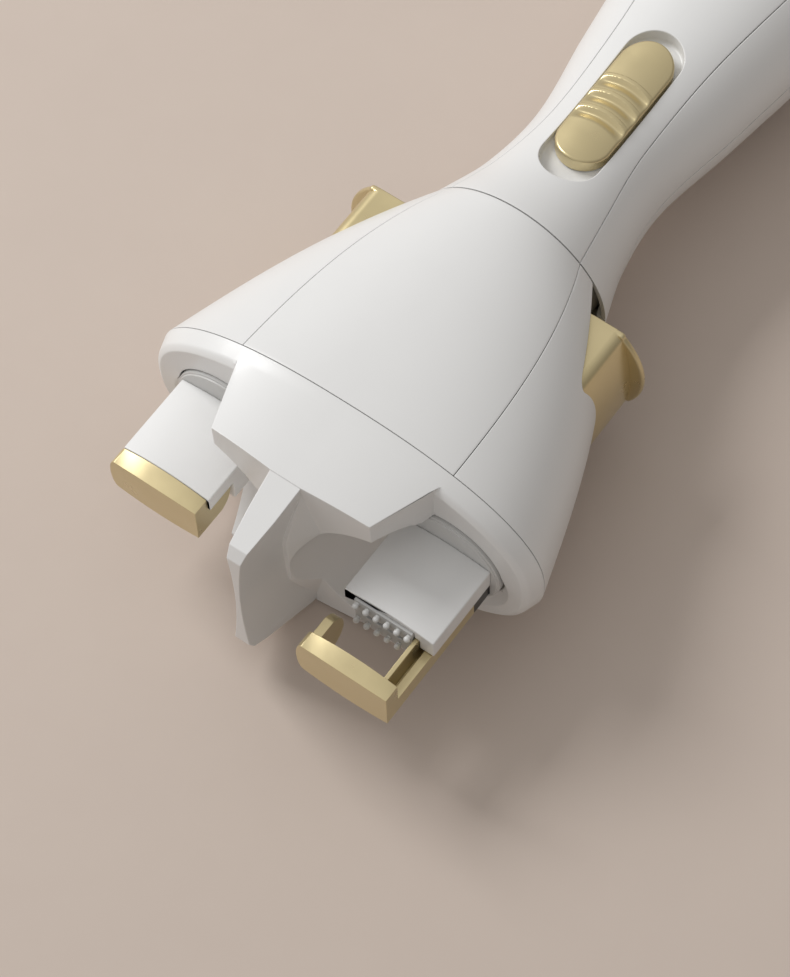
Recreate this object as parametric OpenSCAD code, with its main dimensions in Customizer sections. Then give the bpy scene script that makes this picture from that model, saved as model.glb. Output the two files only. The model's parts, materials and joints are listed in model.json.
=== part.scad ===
// Automatic hair braider: a grip with a turning head, two spinning hair clips and two side levers.
// Lengths are in millimetres. Inside the modules y runs along the axis from the mouth of the head
// towards the grip's end, x is the width and z points to the front; place() sets the part down.

/* [Head] */
// Width of the head across its lower band
head_w = 89.2; // [86:0.2:94]
// Depth of the band from the axis to the front
head_front = 24.5; // [23.5:0.1:26]
// Depth of the band from the axis to the back, before the rest flat is cut
head_back = 25.2; // [24.9:0.1:26]
// Height of the axis above the surface that the part lies on
rest_h = 24.7; // [24.2:0.1:24.8]
// How far the mouth edge is drawn in from the band
rim_in = 0.9; // [0.4:0.1:1.4]
// Height of the lower band
band_h = 2.9; // [2.4:0.1:3.4]
// Length from the mouth to the neck seam
head_len = 57; // [56:0.5:62]
// Radius of the neck at its seam
neck_r = 21.4; // [21:0.1:23]
// Share of the bell's width that tapers evenly
bell_slope = 0.7; // [0.5:0.05:0.9]
// Squareness of the head's section at the mouth
mouth_square = 2.33; // [2.1:0.01:2.5]
// Wall of all shells
wall = 2; // [1.8:0.1:2.2]
// Gap of the visible seams
seam = 0.15; // [0.1:0.05:0.25]
// Place of the side seam at the band, as a share of the half width
seam_at_band = 0.54; // [0.45:0.01:0.6]
// Place of the side seam at the neck, as a share of the half width
seam_at_neck = 0.71; // [0.65:0.01:0.75]

/* [Guards and divider] */
// Half width of the guard at the mouth
guard_w = 23.2; // [21:0.1:25]
// Half width between the guard's two lobe tips
lobe_w = 18; // [17:0.1:19]
// Length of the lobes below the mouth
lobe_len = 14.7; // [12:0.1:16]
// Length of the guard at the divider
root_len = 15.9; // [15:0.1:17]
// Half width of the divider where it leaves the guard
root_w = 3.5; // [3.2:0.1:4]
// Depth of the keel under the guard
keel_len = 20.9; // [19:0.1:22]
// Half width of the keel's crest
keel_w = 2.6; // [2.4:0.1:2.8]
// Length of the divider below the mouth
fin_len = 33; // [30:0.5:36]
// Half width of the divider's end
fin_w = 2.2; // [2:0.1:2.6]
// Half thickness of the divider's end at its middle
fin_waist = 0.9; // [0.7:0.1:1.2]
// Front height of the divider's tip above the axis
fin_front = 19; // [17:0.5:21]
// Back depth of the divider's tip below the axis
fin_back = 16; // [14:0.5:18]
// Radius of the bowl round each clip
bowl_r = 23.4; // [23:0.05:23.5]
// Front radius of the bowl, from its middle
bowl_depth = 21; // [20:0.1:21.5]
// How far the bowl's middle lies behind the axis
bowl_back = 3; // [2.5:0.1:3.2]
// Distance of the bowl's centre below the mouth
bowl_y = 20.5; // [20:0.1:21]
// How much shorter the guard is at its back than at its front
guard_rise = 1.4; // [0:0.1:2]
// Thickness of the floor of the head
floor_t = 2.7; // [2.4:0.1:3]
// How far the floor stands out of the mouth
floor_out = 1.3; // [1:0.1:1.5]

/* [Gears] */
// Gear module
gear_m = 0.75;
// Teeth of the sun gear
sun_teeth = 33;
// Teeth of each rotor gear
rotor_teeth = 36;
// Face width of the gears
gear_h = 4.5; // [4:0.5:5]
// Play between gear flanks, on each tooth
backlash = 0.08; // [0.06:0.01:0.12]
// Radius of the drive shaft
shaft_r = 3; // [2.5:0.1:3.5]
// Radial clearance of running fits
run_fit = 0.05; // [0.03:0.01:0.08]

/* [Clips] */
// Radius of the rotor disc
disc_r = 11.75; // [11.6:0.05:11.8]
// How far the disc stands out of the mouth
disc_out = 2.2; // [2:0.1:2.6]
// Radius of the rotor hub
hub_r = 11.5; // [11.4:0.05:11.55]
// Radial gap round the rotor disc
disc_gap = 0.35; // [0.3:0.05:0.4]
// Half width of the clip body
clip_w = 10.1; // [10:0.05:10.3]
// Half width of the clamp
clamp_w = 9.65; // [9.6:0.05:9.7]
// Front height of the clip body at its sides
clip_front = 4.7; // [4.6:0.1:5]
// Back depth of the clip body at its sides
clip_back = 5; // [4.9:0.1:5.1]
// Crown of the clip body in front
crown = 1.1; // [0.8:0.1:1.4]
// Length of the clip body below the mouth
clip_len = 20.4; // [19.5:0.1:21]
// Thickness of the clamp's end plate
cap_t = 3.7; // [3.4:0.1:4]
// Opening of the clamp
clamp_open = 10.5; // [9:0.5:11]
// Length of the clamp's short finger, from the body's end
finger_len = 6.8; // [6:0.1:7.5]
// Length of the clamp's long arm, from the body's end
arm_len = 24; // [23:0.5:25]
// Length of the slide behind the long arm
slide_len = 9.5; // [9:0.5:10]
// Radius of the gripping bumps
bump_r = 0.65; // [0.5:0.05:0.7]
// Bumps in a row
bumps = 6; // [4:1:6]
// Spacing of the bumps
bump_pitch = 2.35; // [2.1:0.05:2.4]
// Clearance round the clamp's sliding parts
slide_gap = 0.15; // [0.12:0.01:0.18]

/* [Side levers] */
// Height of the lever's flat front above the axis
lever_front = 11; // [10:0.5:12]
// Depth of the lever below the axis
lever_back = 12.5; // [11:0.5:13]
// Outer side of the lever from the axis
lever_x = 32; // [31:0.25:33]
// Inner side of the lever from the axis
lever_in = 18.5; // [18:0.25:19.5]
// Place of the lever's upper end along the head
lever_top = 51.4; // [50.5:0.1:52]
// Length of the lever
lever_len = 21; // [19:0.5:22]
// Thickness of the thumb flange
flange_t = 1.3; // [1:0.1:1.6]
// How far the flange stands out of the lever
flange_out = 2.8; // [2:0.1:3.5]
// Radius of the lever's bowed outer side
lever_bow = 40; // [36:1:46]
// Radius of the flange's edge
flange_r = 17; // [15:0.1:19]
// Radius of the lever's front edge
crease_r = 2.5; // [1:0.1:3]
// Travel of the lever
lever_travel = 4.5; // [3:0.5:5]
// Clearance round the lever in its slot
lever_gap = 0.3; // [0.25:0.05:0.4]

/* [Grip] */
// Length from the mouth to the end of the grip
grip_end = 200; // [196:1:206]
// Width of the grip's narrow waist
waist_w = 31.4; // [31:0.2:34]
// Place of the waist from the mouth
waist_y = 86; // [84:1:88]
// Width of the grip at its widest
belly_w = 46.4; // [44:0.2:50]
// Front height of the belly
belly_front = 18.4; // [17.5:0.1:20]
// Back depth of the belly, before the rest flat is cut
belly_back = 25.2; // [24.9:0.1:26]
// Place of the belly from the mouth
belly_y = 165; // [160:1:168]
// Length of the end cap
cap_len = 8; // [7:0.5:9]
// Thickness of the inlaid front panel
panel_t = 0.9; // [0.7:0.1:1]

/* [Slide switch] */
// Length of the switch button
button_len = 32.5; // [31:0.5:34]
// Width of the switch button
button_w = 11.7; // [11:0.1:11.9]
// Travel of the switch button
button_travel = 4.5; // [4:0.5:6]
// Place of the recess's middle from the mouth
recess_y = 90.2; // [89:0.1:91]
// Width of the recess
recess_w = 12.5; // [12.3:0.1:13.2]
// Height of the recess floor above the axis
recess_floor = 12.9; // [12.7:0.1:13.1]
// Height of the button's top above the axis
button_top = 16.9; // [16.4:0.1:17.4]
// Clearance under the button and at its far end
button_gap = 0.35; // [0.2:0.05:0.4]
// Gap between the resting button and the near end of its recess
button_rest = 3.2; // [1:0.1:3.4]

/* [Drive] */
// Radius of the motor and gearbox
motor_r = 8; // [7.5:0.1:8.5]
// Width of the control board
board_w = 12; // [10:0.5:13]
// Length of the control board
board_len = 44; // [36:1:48]
// Width of the charging board
charge_board_w = 16; // [12:0.5:17]
// Length of the gearbox
gearbox_len = 13; // [12:0.5:14]
// Length of the motor
motor_len = 25; // [22:0.5:26]
// Radius of the battery cell
cell_r = 9.2; // [9:0.1:9.3]
// Length of the battery cell
cell_len = 65; // [60:0.5:65]
// Radius of the neck collar's tube
collar_r = 15; // [14.5:0.1:15]

/* [Hidden] */

gloss_white = "#f2f1ef";
soft_white = "#e6e5e3";
champagne = "#d9c48f";
jaw_grey = "#c9c9c9";
slide_black = "#2b2b2d";
metal = "#b8b8bc";
board_green = "#2f6b45";

eps = 0.01;
rotor_x = gear_m * (sun_teeth + rotor_teeth) / 2;
clip_far = clip_len + cap_t + clamp_open;
mid_y = (grip_end - clip_far) / 2;
neck_gap = 0.3;
neck_square = 2;
grip_square = 2.08;
grip_y = head_len + neck_gap;
cap_y = grip_end - cap_len;
throat_y = head_len + 13;
flare_y = waist_y + 22;
swell_y = belly_y - 25;
// Along the grip: place, half width, front, back, and the side seam's share of the half width
grip_knots = [
  [head_len, neck_r, neck_r, neck_r, seam_at_neck],
  [throat_y, waist_w / 2 + 1.6, waist_w / 2 + 1.5, waist_w / 2 + 1.7, 0.72],
  [waist_y, waist_w / 2, waist_w / 2 - 0.1, waist_w / 2 + 0.2, 0.66],
  [flare_y, waist_w / 2 + 3.3, waist_w / 2 + 0.3, waist_w / 2 + 2.8, 0.575],
  [swell_y, belly_w / 2 - 0.4, belly_front - 0.4, belly_back - 1.6, 0.64],
  [belly_y, belly_w / 2, belly_front, belly_back, 0.68],
  [cap_y, belly_w / 2 - 2.2, belly_front - 1.4, belly_back - 2.9, 0.68],
];

// Sections ---------------------------------------------------------------------------------------

function spow(v, p) = sign(v) * pow(abs(v), p);
function clamp01(t) = max(0, min(1, t));
function steps(a, b, n) = [for (i = [0 : n]) a + (b - a) * i / n];

// Index of the knot at or before y
function knot_before(k, y) =
  let (found = [for (i = [0 : len(k) - 2]) if (y >= k[i][0]) i])
  len(found) == 0 ? 0 : found[len(found) - 1];

function knot_slope(k, c, i) =
  let (a = max(0, i - 1), b = min(len(k) - 1, i + 1))
  (k[b][c] - k[a][c]) / (k[b][0] - k[a][0]);

// Smooth curve through column c of the knots
function through(k, c, y) =
  let (
    i = knot_before(k, y),
    h = k[i + 1][0] - k[i][0],
    t = clamp01((y - k[i][0]) / h),
    m0 = knot_slope(k, c, i) * h,
    m1 = knot_slope(k, c, i + 1) * h,
    t2 = t * t,
    t3 = t2 * t
  )
  (2 * t3 - 3 * t2 + 1) * k[i][c] + (t3 - 2 * t2 + t) * m0
    + (3 * t2 - 2 * t3) * k[i + 1][c] + (t3 - t2) * m1;

function head_t(y) = clamp01((y - band_h) / (head_len - band_h));
function bell(t) = 1 - bell_slope * t - (1 - bell_slope) * t * t * t;
function band_inset(y) = rim_in * clamp01(1 - y / band_h);
function head_section(y) =
  let (t = head_t(y), g = bell(t), d = band_inset(y))
  [
    neck_r + (head_w / 2 - neck_r) * g - d,
    neck_r + (head_front - neck_r) * g - d,
    neck_r + (head_back - neck_r) * g - d,
    mouth_square + (neck_square - mouth_square) * t,
  ];
function grip_section(y) = [
  through(grip_knots, 1, y),
  through(grip_knots, 2, y),
  through(grip_knots, 3, y),
  neck_square + (grip_square - neck_square) * clamp01((y - head_len) / (waist_y - head_len)),
];

// Half width, front, back and squareness of the outer surface at y
function outline(y) = y <= head_len ? head_section(y) : grip_section(y);

// The side seam's angle round the section
function seam_share(y) =
  y <= head_len
    ? seam_at_band + (seam_at_neck - seam_at_band) * head_t(y)
    : through(grip_knots, 4, y);
function seam_angle(y) = acos(pow(seam_share(y), outline(y)[3] / 2));
function half_gap(y) = seam / 2 / outline(y)[0] * 180 / PI;

// A point of the outer surface at y, at angle a from +x towards +z, sunk by off; the back is cut flat
function skin_point(y, a, off) =
  let (
    s = outline(y),
    p = 2 / s[3],
    depth = (sin(a) >= 0 ? s[1] : s[2]) - off
  )
  [(s[0] - off) * spow(cos(a), p), y, max(depth * spow(sin(a), p), off - rest_h)];

function quad(a, b, c, d) = [[a, b, c], [a, c, d]];

// A shell with rows of points at ys; each column is a function of y giving [angle, outer offset]
module skin(ys, cols, inner = wall) {
  n = len(ys);
  m = len(cols);
  outer_pts = [for (y = ys) for (c = cols) let (q = c(y)) skin_point(y, q[0], q[1])];
  inner_pts = [for (y = ys) for (c = cols) let (q = c(y)) skin_point(y, q[0], inner)];
  k = n * m;
  faces = [
    for (i = [0 : n - 2]) for (j = [0 : m - 2])
      each quad(i * m + j, i * m + j + 1, (i + 1) * m + j + 1, (i + 1) * m + j),
    for (i = [0 : n - 2]) for (j = [0 : m - 2])
      each quad(k + i * m + j, k + (i + 1) * m + j, k + (i + 1) * m + j + 1, k + i * m + j + 1),
    for (i = [0 : n - 2])
      each quad(i * m, (i + 1) * m, k + (i + 1) * m, k + i * m),
    for (i = [0 : n - 2])
      each quad(i * m + m - 1, k + i * m + m - 1, k + (i + 1) * m + m - 1, (i + 1) * m + m - 1),
    for (j = [0 : m - 2])
      each quad(j, k + j, k + j + 1, j + 1),
    for (j = [0 : m - 2])
      each quad((n - 1) * m + j, (n - 1) * m + j + 1, k + (n - 1) * m + j + 1, k + (n - 1) * m + j),
  ];
  polyhedron(concat(outer_pts, inner_pts), faces, convexity = 8);
}

// A closed solid with a ring of points for each [y, offset] row; y picks the section, at shifts it
module loft(rows, count = 60) {
  n = len(rows);
  pts = [
    for (r = rows) for (j = [0 : count - 1])
      let (q = skin_point(max(0, r[0]), j * 360 / count, r[1])) [q[0], r[0], q[2]]
  ];
  faces = [
    for (i = [0 : n - 2]) for (j = [0 : count - 1])
      let (j1 = (j + 1) % count)
      each quad(i * count + j, i * count + j1, (i + 1) * count + j1, (i + 1) * count + j),
    [for (j = [count - 1 : -1 : 0]) j],
    [for (j = [0 : count - 1]) (n - 1) * count + j],
  ];
  polyhedron(pts, faces, convexity = 4);
}

// The section at y as a flat outline in x and z
module section(y, off, count = 72) {
  polygon([for (j = [0 : count - 1]) let (q = skin_point(y, j * 360 / count, off)) [q[0], q[2]]]);
}

// Stands a flat x-z outline between two places along y
module along(y0, y1) {
  translate([0, y1, 0])
    rotate([90, 0, 0])
      linear_extrude(y1 - y0)
        children();
}

module rod(r, y0, y1) {
  along(y0, y1) circle(r, $fn = 96);
}

module mirror_copies() {
  children();
  mirror([1, 0, 0]) children();
}

module place() {
  translate([0, -mid_y, rest_h]) children();
}

// Gears ------------------------------------------------------------------------------------------

pressure = 20;
function involute_angle(r, rb) = let (c = rb / r) tan(acos(c)) * 180 / PI - acos(c);

// Half angle of a tooth at radius r
function tooth_half(r, teeth) =
  let (rp = gear_m * teeth / 2, rb = rp * cos(pressure))
  90 / teeth - backlash / 2 / rp * 180 / PI + involute_angle(rp, rb) - involute_angle(max(r, rb), rb);

module gear_outline(teeth, phase) {
  rp = gear_m * teeth / 2;
  ra = rp + gear_m;
  rf = rp - 1.25 * gear_m;
  flank = steps(max(rf + 0.1, rp * cos(pressure) + 0.02), ra, 4);
  one = 360 / teeth;
  polygon([
    for (i = [0 : teeth - 1])
      let (mid = (i + phase) * one)
      each [
        rf * [cos(mid - one / 2), sin(mid - one / 2)],
        for (r = flank) r * [cos(mid - tooth_half(r, teeth)), sin(mid - tooth_half(r, teeth))],
        for (k = [4 : -1 : 0])
          let (r = flank[k]) r * [cos(mid + tooth_half(r, teeth)), sin(mid + tooth_half(r, teeth))],
      ]
  ]);
}

module gear(teeth, phase, bore) {
  along(gear_y, gear_y + gear_h)
    difference() {
      gear_outline(teeth, phase);
      circle(bore, $fn = 96);
    }
}

gear_y = 4.2;
plate_y = 11;
plate_t = 2.5;
hub_top = max(plate_y + plate_t + 1.2, arm_len + slide_len - clip_len + 1.6);
floor_top = floor_t - floor_out;
bush_t = 2;
press_gap = 0.02;
seat_gap = 0.1;
thread_gap = 0.03;

// Head -------------------------------------------------------------------------------------------

head_rows = concat([band_h + seam], steps(band_h + 4, head_len, 13));

// Columns of the front panel between the two side seams
function front_cols(n, off) = [
  for (i = [0 : n])
    let (f = i / n)
    function (y) let (a = seam_angle(y) + half_gap(y)) [a + f * (180 - 2 * a), off]
];

// Columns of the back shell from one side seam round the back to the other
function back_cols(n) = [
  for (i = [0 : n])
    let (f = i / n)
    function (y) let (a = seam_angle(y) - half_gap(y)) [180 - a + f * (180 + 2 * a), 0]
];

module head_front_panel() {
  color(gloss_white) place() skin(head_rows, front_cols(22, 0));
}

// Opening for a lever, from its lower end at rest up to the neck seam
module lever_slot(y1) {
  along(lever_top - lever_len - lever_gap, y1)
    union() {
      lever_outline(lever_gap);
      box2(lever_in - 6, lever_in, -lever_back - lever_gap, lever_front + lever_gap);
    }
}

module head_back_shell() {
  color(gloss_white) place()
    difference() {
      skin(head_rows, back_cols(44));
      mirror_copies() lever_slot(head_len + 1);
    }
}

// Outline of the lower guard: the lobes, and the roots of the divider
function guard_points(s) = [
  [s * guard_w, 0],
  [s * lobe_w, -lobe_len],
  [s * root_w, -root_len],
];

// Shortens the guard evenly from its front to its back
module shorter_behind() {
  slope = guard_rise / (head_front + rest_h);
  multmatrix([[1, 0, 0, 0], [0, 1, -slope, slope * head_front], [0, 0, 1, 0]]) children();
}

module guard() {
  intersection() {
    along(-root_len - 1, floor_top) section(0, 0);
    shorter_behind() translate([0, 0, -2 * head_front])
      linear_extrude(4 * head_front)
        polygon(concat(
          [[guard_w, floor_top]],
          guard_points(1),
          [for (i = [2 : -1 : 0]) guard_points(-1)[i]],
          [[-guard_w, floor_top]]
        ));
  }
}

// The keel under the guard, a low roof with its crest along the divider
module keel() {
  crest_z = 8;
  hip_w = root_w + 3;
  hip_z = 9;
  hip_y = -root_len + 0.25;
  root_z = outline(0)[1] - 0.9;
  top_y = -root_len + 4;
  crest = [[keel_w, crest_z], [-keel_w, crest_z], [-keel_w, -crest_z], [keel_w, -crest_z]];
  root_y = -root_len + 0.3;
  rim = [
    [root_w, root_z, root_y], [-root_w, root_z, root_y],
    [-hip_w, hip_z, hip_y], [-hip_w, -hip_z, hip_y],
    [-root_w, -root_z, root_y], [root_w, -root_z, root_y],
    [hip_w, -hip_z, hip_y], [hip_w, hip_z, hip_y],
  ];
  pts = concat(
    [for (p = crest) [p[0], -keel_len, p[1]]],
    [for (p = rim) [p[0], p[2], p[1]]],
    [for (p = rim) [p[0], top_y, p[1]]]
  );
  faces = [
    [3, 2, 1, 0],
    [0, 1, 5, 4],
    [1, 6, 5], [1, 2, 7], [1, 7, 6], [2, 8, 7],
    [2, 3, 9, 8],
    [3, 10, 9], [3, 0, 11], [3, 11, 10], [0, 4, 11],
    for (i = [0 : 7]) let (j = (i + 1) % 8) each quad(4 + i, 4 + j, 12 + j, 12 + i),
    [for (i = [0 : 7]) 12 + i],
  ];
  polyhedron(pts, faces, convexity = 2);
}

// The divider between the clips, waisted by two shallow round hollows
module divider() {
  hollow_h = (fin_front + fin_back) / 2;
  sag = fin_w - fin_waist;
  hollow_r = (hollow_h * hollow_h + sag * sag) / 2 / sag;
  lean = atan((root_w - fin_w) / (fin_len - root_len));
  top_y = -root_len + 4;
  wide = root_w + (root_w - fin_w) * (top_y + root_len) / (fin_len - root_len);
  difference() {
    intersection() {
      translate([0, 0, -2 * head_front])
        linear_extrude(4 * head_front)
          polygon([[wide, top_y], [fin_w, -fin_len], [-fin_w, -fin_len], [-wide, top_y]]);
      rotate([90, 0, 90])
        translate([0, 0, -2 * root_w])
          linear_extrude(4 * root_w)
            polygon([
              [top_y, outline(0)[1] - 0.2],
              [-root_len, outline(0)[1] - 0.2],
              [-fin_len + 2.4, fin_front],
              [-fin_len + 0.7, fin_front - 2.4],
              [-fin_len, -fin_back + 0.8],
              [-fin_len + 1, -fin_back - 0.9],
              [-root_len, -rest_h + 1.6],
              [top_y, -rest_h + 1.6],
            ]);
    }
    mirror_copies()
      translate([hollow_r + fin_waist, -fin_len, (fin_front - fin_back) / 2])
        rotate([0, 0, -lean])
          rod(hollow_r, -10, fin_len - keel_len + 8);
  }
}

post_x = rotor_x / 2;
post_z = 17;
post_r = 2.6;

module head_base() {
  lip_h = 3;
  lip_t = 0.8;
  color(gloss_white) place()
    difference() {
      union() {
        loft([[-floor_out, floor_out], [-floor_out / 2, floor_out / 4], [0, 0], [band_h, 0]], 72);
        guard();
        shorter_behind() keel();
        divider();
        along(band_h - 0.4, band_h + lip_h) section(band_h + lip_h, wall + seat_gap);
      }
      difference() {
        along(floor_top, band_h + lip_h + 1) section(band_h + lip_h, wall + seat_gap + lip_t);
        rod(shaft_r + 2, 0, gear_y - 0.5);
      }
      for (s = [-1, 1]) translate([s * rotor_x, 0, 0]) {
        translate([0, -bowl_y, -bowl_back])
          scale([1, 1, bowl_depth / bowl_r]) sphere(bowl_r, $fn = 144);
        rod(disc_r + disc_gap, -disc_out - 2, floor_top + 1);
      }
      rod(shaft_r + run_fit, floor_top - 1, gear_y);
    }
  // Posts that carry the gear plate
  color(gloss_white) place()
    for (sx = [-1, 1]) for (sz = [-1, 1])
      translate([sx * post_x, 0, sz * post_z])
        difference() {
          rod(post_r, floor_top - 0.5, plate_y);
          rod(screw_r + thread_gap, plate_y - 6, plate_y + 1);
        }
}

screw_r = 1.1;
screw_head_r = 2.1;
screw_head_h = 1.4;

// A screw with a domed head and a cross recess, its head face at y = 0 and its shank towards -y
module screw(length) {
  difference() {
    union() {
      rod(screw_head_r, 0, screw_head_h);
      rod(screw_r, -length, 0.1);
    }
    for (a = [0, 90])
      rotate([0, a, 0]) translate([-1.3, screw_head_h - 0.6, -0.3]) cube([2.6, 1, 0.6]);
  }
}

module gear_plate() {
  color(soft_white) place()
    along(plate_y, plate_y + plate_t)
      difference() {
        section(plate_y + plate_t, wall + seat_gap);
        circle(shaft_r + run_fit, $fn = 96);
        for (s = [-1, 1]) translate([s * rotor_x, 0]) circle(hub_r + run_fit, $fn = 96);
        for (sx = [-1, 1]) for (sz = [-1, 1])
          translate([sx * post_x, sz * post_z]) circle(screw_r + 0.15, $fn = 48);
      }
}

module gear_plate_screws() {
  color(metal) place()
    for (sx = [-1, 1]) for (sz = [-1, 1])
      translate([sx * post_x, plate_y + plate_t + eps, sz * post_z]) screw(7.5);
}

// Collar that hangs the head in the grip's neck
collar_flange_y = lever_top + 1.6;
collar_top = head_len + 8.5;
circlip_y = head_len + 6;
circlip_t = 1.1;
groove_depth = 0.8;

module neck_collar() {
  color(gloss_white) place()
    difference() {
      union() {
        along(collar_flange_y, head_len - 1) section(head_len - 1, wall + seat_gap);
        along(head_len - 1, head_len + 0.25) circle(collar_r + 2, $fn = 96);
        rod(collar_r, head_len - 1, collar_top);
      }
      mirror_copies() lever_slot(head_len + 1);
      rod(collar_r - 2.5, collar_flange_y + 2.5, collar_top + 1);
      rod(shaft_r + run_fit, collar_flange_y - 1, collar_flange_y + 3);
      along(circlip_y - 0.05, circlip_y + circlip_t + 0.05)
        difference() {
          circle(collar_r + 1, $fn = 96);
          circle(collar_r - groove_depth, $fn = 96);
        }
    }
}

module neck_circlip() {
  color(metal) place()
    along(circlip_y, circlip_y + circlip_t)
      difference() {
        circle(collar_r + 0.8, $fn = 96);
        circle(collar_r - groove_depth + press_gap, $fn = 96);
        rotate([0, 0, -90]) translate([0, -1.5]) square([collar_r + 2, 3]);
      }
}

module rotor_bush(s) {
  color(metal) place()
    translate([s * rotor_x, 0, 0])
      along(floor_top, floor_top + bush_t)
        difference() {
          circle(hub_r + 1.5, $fn = 96);
          circle(hub_r + run_fit, $fn = 96);
        }
}

// Drive ------------------------------------------------------------------------------------------

gearbox_y = collar_top + 1.2;
coupler_len = 7;

module drive_shaft() {
  color(metal) place() rod(shaft_r, floor_top - 0.9, gearbox_y - 1.5);
}

module sun_gear() {
  color(soft_white) place() gear(sun_teeth, 0, shaft_r + press_gap);
}

module shaft_coupler() {
  color(metal) place()
    difference() {
      rod(shaft_r + 2.5, gearbox_y - 0.3 - coupler_len, gearbox_y - 0.3);
      rod(shaft_r + press_gap, gearbox_y - 1 - coupler_len, gearbox_y - 1.45);
    }
}

module gearbox() {
  color(soft_white) place()
    difference() {
      rod(motor_r, gearbox_y, gearbox_y + gearbox_len);
      for (a = [45 : 90 : 315])
        rotate([0, a, 0])
          translate([motor_r - 2.2, 0, 0]) rod(0.8, gearbox_y - 1, gearbox_y + 3);
    }
}

module drive_motor() {
  motor_y = gearbox_y + gearbox_len;
  color(metal) place() {
    difference() {
      rod(motor_r, motor_y, motor_y + motor_len);
      for (s = [-1, 1])
        translate([s * (motor_r + 0.6) - 1, motor_y + 3, -2]) cube([2, motor_len - 6, 4]);
    }
    rod(3, motor_y + motor_len - eps, motor_y + motor_len + 1.5);
  }
}

// Grip -------------------------------------------------------------------------------------------

grip_rows = concat([grip_y], steps(grip_y + 4, cap_y - seam, 22));
split_gap = 0.3;
step_turn = 0.5;

// Columns of the front half: the sides, and the seat of the front panel between the side seams
function front_half_cols(n, side_n) = concat(
  [for (i = [0 : side_n]) let (f = i / side_n) function (y) [split_gap + f * (seam_angle(y) - split_gap), 0]],
  [for (i = [0 : n]) let (f = i / n)
    function (y) let (a = seam_angle(y) + step_turn) [a + f * (180 - 2 * a), panel_t]],
  [for (i = [side_n : -1 : 0]) let (f = i / side_n)
    function (y) [180 - split_gap - f * (seam_angle(y) - split_gap), 0]]
);

function panel_cols(n) = [
  for (i = [0 : n]) let (f = i / n)
    function (y) let (a = seam_angle(y) + step_turn + half_gap(y)) [a + f * (180 - 2 * a), 0]
];

function back_half_cols(n) = [
  for (i = [0 : n]) let (f = i / n) function (y) [180 + split_gap + f * (180 - 2 * split_gap), 0]
];

recess_len = button_len + button_travel + button_rest + 2 * button_gap;

tray_t = 1.4;

module stadium(length, width) {
  for (s = [-1, 1]) translate([0, s * (length - width) / 2]) circle(width / 2, $fn = 96);
  square([width, length - width], center = true);
}

module handle_front_shell() {
  tray_edge = 0.7;
  tray_reach = recess_len / 2 + tray_edge + 2;
  color(gloss_white) place()
    difference() {
      union() {
        skin(grip_rows, front_half_cols(16, 5));
        intersection() {
          translate([0, recess_y, recess_floor - tray_t])
            linear_extrude(3) stadium(recess_len + 2 * tray_edge, recess_w + 2 * tray_edge);
          loft([for (y = steps(-tray_reach, tray_reach, 12)) [recess_y + y, panel_t + 0.2]], 72);
        }
        screw_bosses(split_z, grip_deep);
      }
      translate([0, recess_y, recess_floor])
        linear_extrude(10) stadium(recess_len, recess_w);
      translate([0, stem_y, recess_floor - 5])
        linear_extrude(10) stadium(stem_len + button_travel + 1.2, stem_w + 0.6);
      at_screws() rod_z(screw_r + thread_gap, split_z - 1, screw_grip - 1);
    }
}

module handle_front_panel() {
  color(gloss_white) place()
    difference() {
      skin(grip_rows, panel_cols(18), panel_t - press_gap);
      translate([0, recess_y, recess_floor - 1])
        linear_extrude(10) stadium(recess_len, recess_w);
    }
}

screw_x = 13;
screw_ys = [128, 180];
screw_seat = -14;
screw_grip = 8;
grip_deep = 40;
split_z = 0.3;
boss_r = 3.2;

module rod_z(r, z0, z1) {
  translate([0, 0, z0]) cylinder(r = r, h = z1 - z0, $fn = 64);
}

module at_screws() {
  for (s = [-1, 1]) for (y = screw_ys) translate([s * screw_x, y, 0]) children();
}

// Screw bosses inside the shells, kept within the wall
module screw_bosses(z0, z1) {
  intersection() {
    at_screws() rod_z(boss_r, z0, z1);
    loft([for (y = steps(screw_ys[0] - 6, screw_ys[1] + 6, 10)) [y, wall / 2]], 60);
  }
}

// A rib across the back shell that cradles a round body of radius r
module cradle(y, t, r, drop = 0) {
  along(y, y + t)
    intersection() {
      difference() {
        section(y + t / 2, wall - 0.25);
        translate([0, drop]) circle(r, $fn = 96);
      }
      translate([-40, -40]) square([80, 40 - 0.5]);
    }
}

cell_y = gearbox_y + gearbox_len + motor_len + 10;
cell_drop = -3;

module handle_back_shell() {
  color(gloss_white) place()
    difference() {
      union() {
        skin(grip_rows, back_half_cols(28));
        cradle(gearbox_y + 3, 1.6, motor_r + seat_gap);
        cradle(gearbox_y + gearbox_len + 3, 1.6, motor_r + seat_gap);
        cradle(gearbox_y + gearbox_len + motor_len - 5, 1.6, motor_r + seat_gap);
        cradle(cell_y + 5, 1.6, cell_r + seat_gap, cell_drop);
        cradle(cell_y + cell_len - 8, 1.6, cell_r + seat_gap, cell_drop);
        board_shelf();
        screw_bosses(-grip_deep, -split_z);
      }
      at_screws() {
        rod_z(screw_r + 0.15, -grip_deep, 1);
        rod_z(screw_head_r + 0.3, -grip_deep, screw_seat);
      }
    }
}

module handle_screws() {
  color(metal) place()
    at_screws()
      translate([0, 0, screw_seat]) rotate([-90, 0, 0]) screw(screw_grip - 2 - screw_seat);
}

socket_w = 9;
socket_h = 3.3;
socket_len = 7.3;
socket_y = grip_end - 1 - socket_len;
board_t = 1;
charge_y = cell_y + cell_len + 2.2;

spigot_len = 3;

// Shelf in the back shell under the charging board
module board_shelf() {
  shelf_t = 1.4;
  shelf_w = charge_board_w + 2;
  for (y = [charge_y + 0.5, cap_y - spigot_len - shelf_t - 0.4])
    along(y, y + shelf_t)
      intersection() {
        section(y + 1, wall - 0.25);
        translate([-shelf_w / 2, -40]) square([shelf_w, 40 - socket_h / 2 - board_t - 0.05]);
      }
}

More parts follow.
